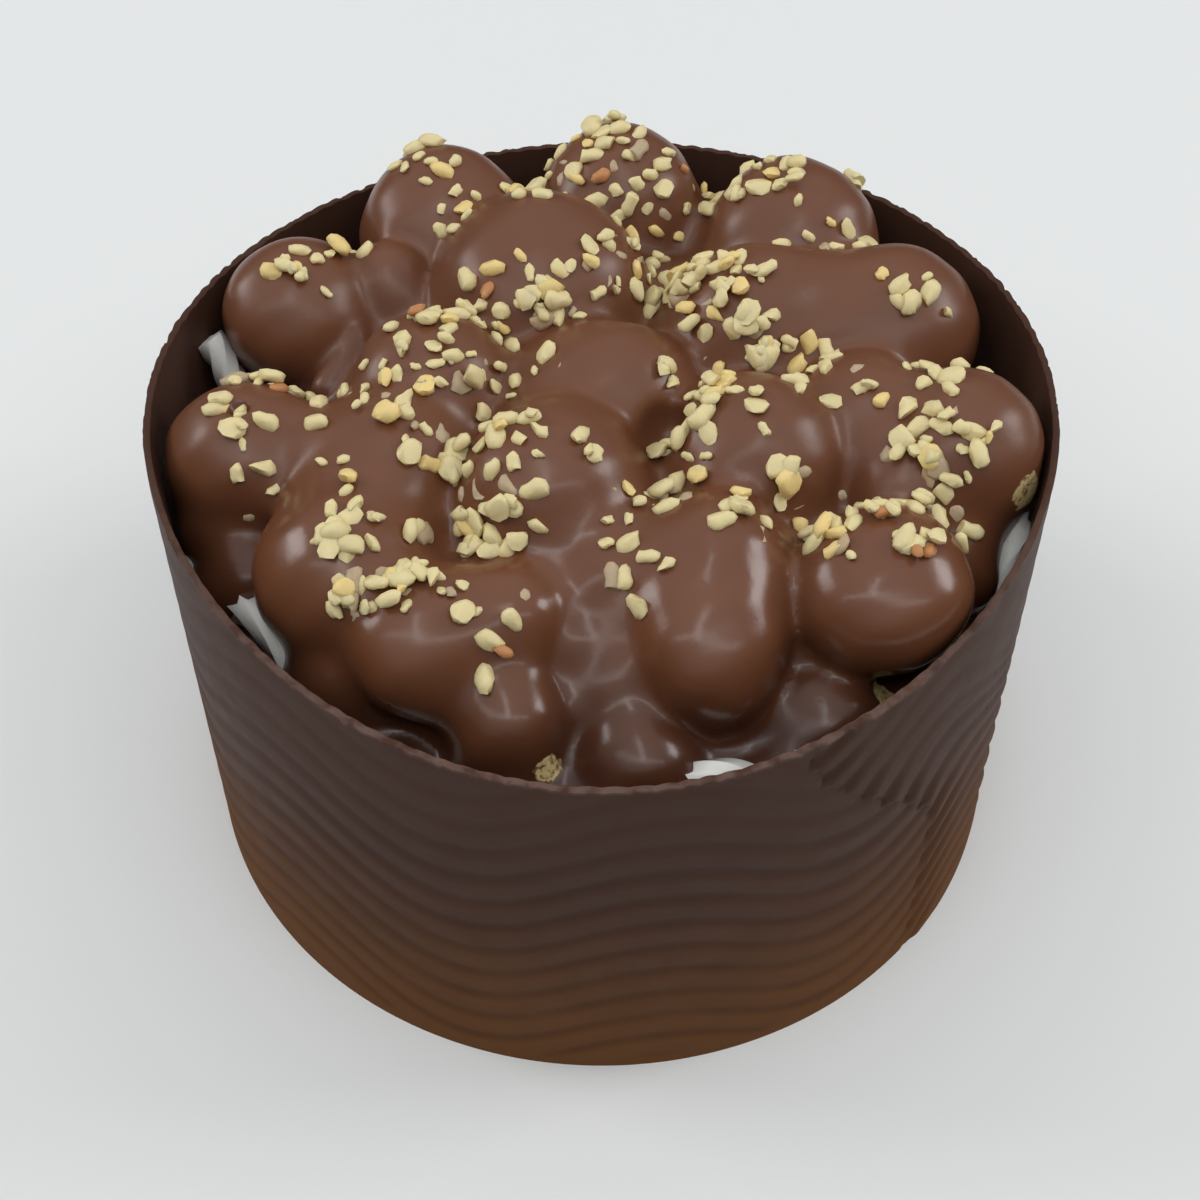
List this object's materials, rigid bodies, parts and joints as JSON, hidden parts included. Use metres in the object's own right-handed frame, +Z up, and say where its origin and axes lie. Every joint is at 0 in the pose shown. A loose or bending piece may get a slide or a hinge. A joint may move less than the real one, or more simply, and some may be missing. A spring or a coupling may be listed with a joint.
{
  "type": "profiterole cake",
  "caption": "Round cream cake wrapped in a band of ribbed dark chocolate, heaped with choux puffs under poured milk chocolate and strewn with chopped hazelnuts.",
  "frame": {"origin": "middle of the flat underside, on the surface that the cake stands on", "axes": "+Z up, -Y towards the shown front, +X to the front's right"},
  "size_m": [0.2, 0.2, 0.1389],
  "materials": {
    "dark_chocolate": "satin dark chocolate, moulded in soft ribs",
    "milk_chocolate": "smooth poured milk chocolate with a soft gloss",
    "whipped_cream": "matt whipped cream",
    "chopped_hazelnut": "matt chopped blanched hazelnut, some pieces toasted"
  },
  "bodies": {
    "root": {"chocolate_band": "dark_chocolate", "cream_filling": "whipped_cream", "profiterole_outer_01": "milk_chocolate", "profiterole_outer_02": "milk_chocolate", "profiterole_outer_03": "milk_chocolate", "profiterole_outer_04": "milk_chocolate", "profiterole_outer_05": "milk_chocolate", "profiterole_outer_06": "milk_chocolate", "profiterole_outer_07": "milk_chocolate", "profiterole_outer_08": "milk_chocolate", "profiterole_outer_09": "milk_chocolate", "profiterole_outer_10": "milk_chocolate", "profiterole_outer_11": "milk_chocolate", "profiterole_inner_01": "milk_chocolate", "profiterole_inner_02": "milk_chocolate", "profiterole_inner_03": "milk_chocolate", "profiterole_inner_04": "milk_chocolate", "profiterole_inner_05": "milk_chocolate", "profiterole_inner_06": "milk_chocolate", "profiterole_inner_07": "milk_chocolate", "profiterole_inner_08": "milk_chocolate", "profiterole_low_01": "milk_chocolate", "profiterole_low_02": "milk_chocolate", "profiterole_low_03": "milk_chocolate", "profiterole_low_04": "milk_chocolate", "profiterole_low_05": "milk_chocolate", "profiterole_low_06": "milk_chocolate"}
  },
  "joints": []
}
